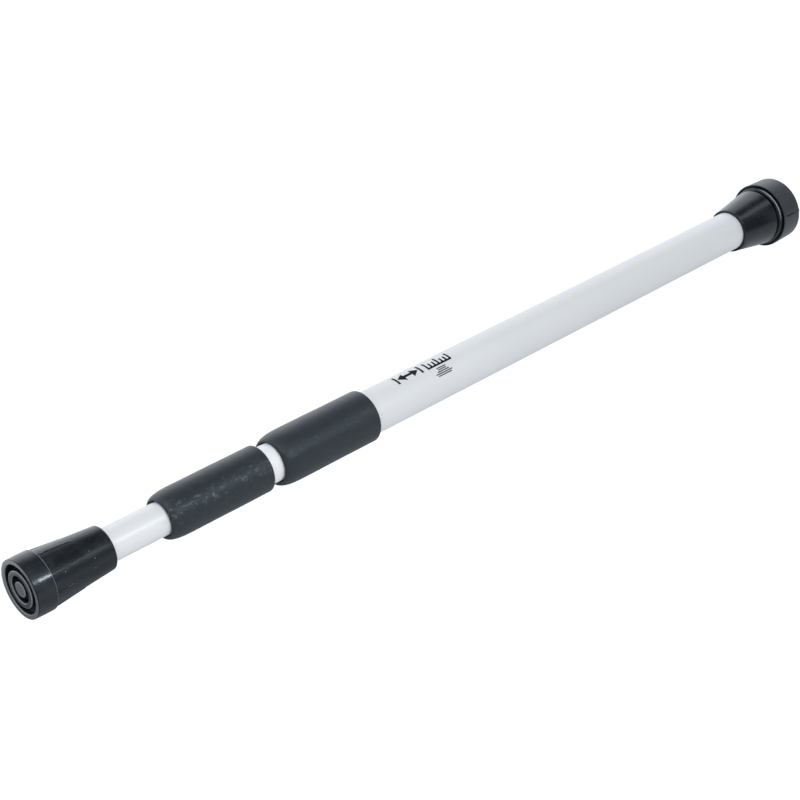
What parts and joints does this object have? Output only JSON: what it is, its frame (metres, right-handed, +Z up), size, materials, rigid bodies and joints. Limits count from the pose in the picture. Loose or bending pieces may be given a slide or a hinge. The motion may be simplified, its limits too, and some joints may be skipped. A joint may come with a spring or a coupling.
{
  "type": "telescoping bed cargo bar",
  "caption": "Twist-lock telescoping bar of nested round tubes with foam grips and a round rubber foot on each end, braced between two facing walls.",
  "frame": {"origin": "centre of the fixed foot's flat face, on the bar's axis", "axes": "+X along the bar's axis, out of the fixed foot's face; the bar runs and extends along -X; +Z up with the bar lying level"},
  "size_m": [0.5265, 0.037, 0.037],
  "materials": {
    "tube": "satin clear anodised",
    "collar": "moulded nylon",
    "grip": "closed-cell foam, matte, fine grain",
    "foot": "moulded rubber, satin",
    "washer": "zinc plated",
    "lock_plastic": "moulded nylon",
    "lock_steel": "zinc plated"
  },
  "bodies": {
    "outer_section": {"outer_tube": "tube", "outer_mouth_collar": "collar", "outer_grip": "grip", "outer_end_cap": "foot", "outer_cap_washer": "washer"},
    "middle_expander": {"middle_lock_expander": "lock_plastic"},
    "middle_cone": {"middle_lock_cone": "lock_plastic"},
    "middle_section": {"middle_tube": "tube", "middle_mouth_collar": "collar", "middle_grip": "grip", "middle_lock_plug": "lock_plastic", "middle_lock_stud": "lock_steel", "middle_lock_stop_nut": "lock_steel"},
    "inner_expander": {"inner_lock_expander": "lock_plastic"},
    "inner_cone": {"inner_lock_cone": "lock_plastic"},
    "inner_section": {"inner_tube": "tube", "inner_end_cap": "foot", "inner_cap_washer": "washer", "inner_lock_plug": "lock_plastic", "inner_lock_stud": "lock_steel", "inner_lock_stop_nut": "lock_steel"}
  },
  "joints": [
    {"name": "middle_slide", "type": "slide", "parent": "outer_section", "child": "middle_expander", "axis": [-1, 0, 0], "range_m": [-0.006, 0.3]},
    {"name": "middle_twist", "type": "hinge", "parent": "middle_expander", "child": "middle_section", "pos_m": [-0.04, 0, 0], "axis": [-1, 0, 0], "range_deg": [0, 360]},
    {"name": "middle_cone_travel", "type": "slide", "parent": "middle_expander", "child": "middle_cone", "axis": [-1, 0, 0], "range_m": [0, 0.002]},
    {"name": "inner_slide", "type": "slide", "parent": "middle_section", "child": "inner_expander", "axis": [-1, 0, 0], "range_m": [-0.03, 0.285]},
    {"name": "inner_twist", "type": "hinge", "parent": "inner_expander", "child": "inner_section", "pos_m": [-0.12, 0, 0], "axis": [-1, 0, 0], "range_deg": [0, 360]},
    {"name": "inner_cone_travel", "type": "slide", "parent": "inner_expander", "child": "inner_cone", "axis": [-1, 0, 0], "range_m": [0, 0.002]}
  ],
  "couplings": [
    {"joint": "middle_cone_travel", "follows": "middle_twist", "m_per_rad": 0.0003183},
    {"joint": "inner_cone_travel", "follows": "inner_twist", "m_per_rad": 0.0003183}
  ]
}
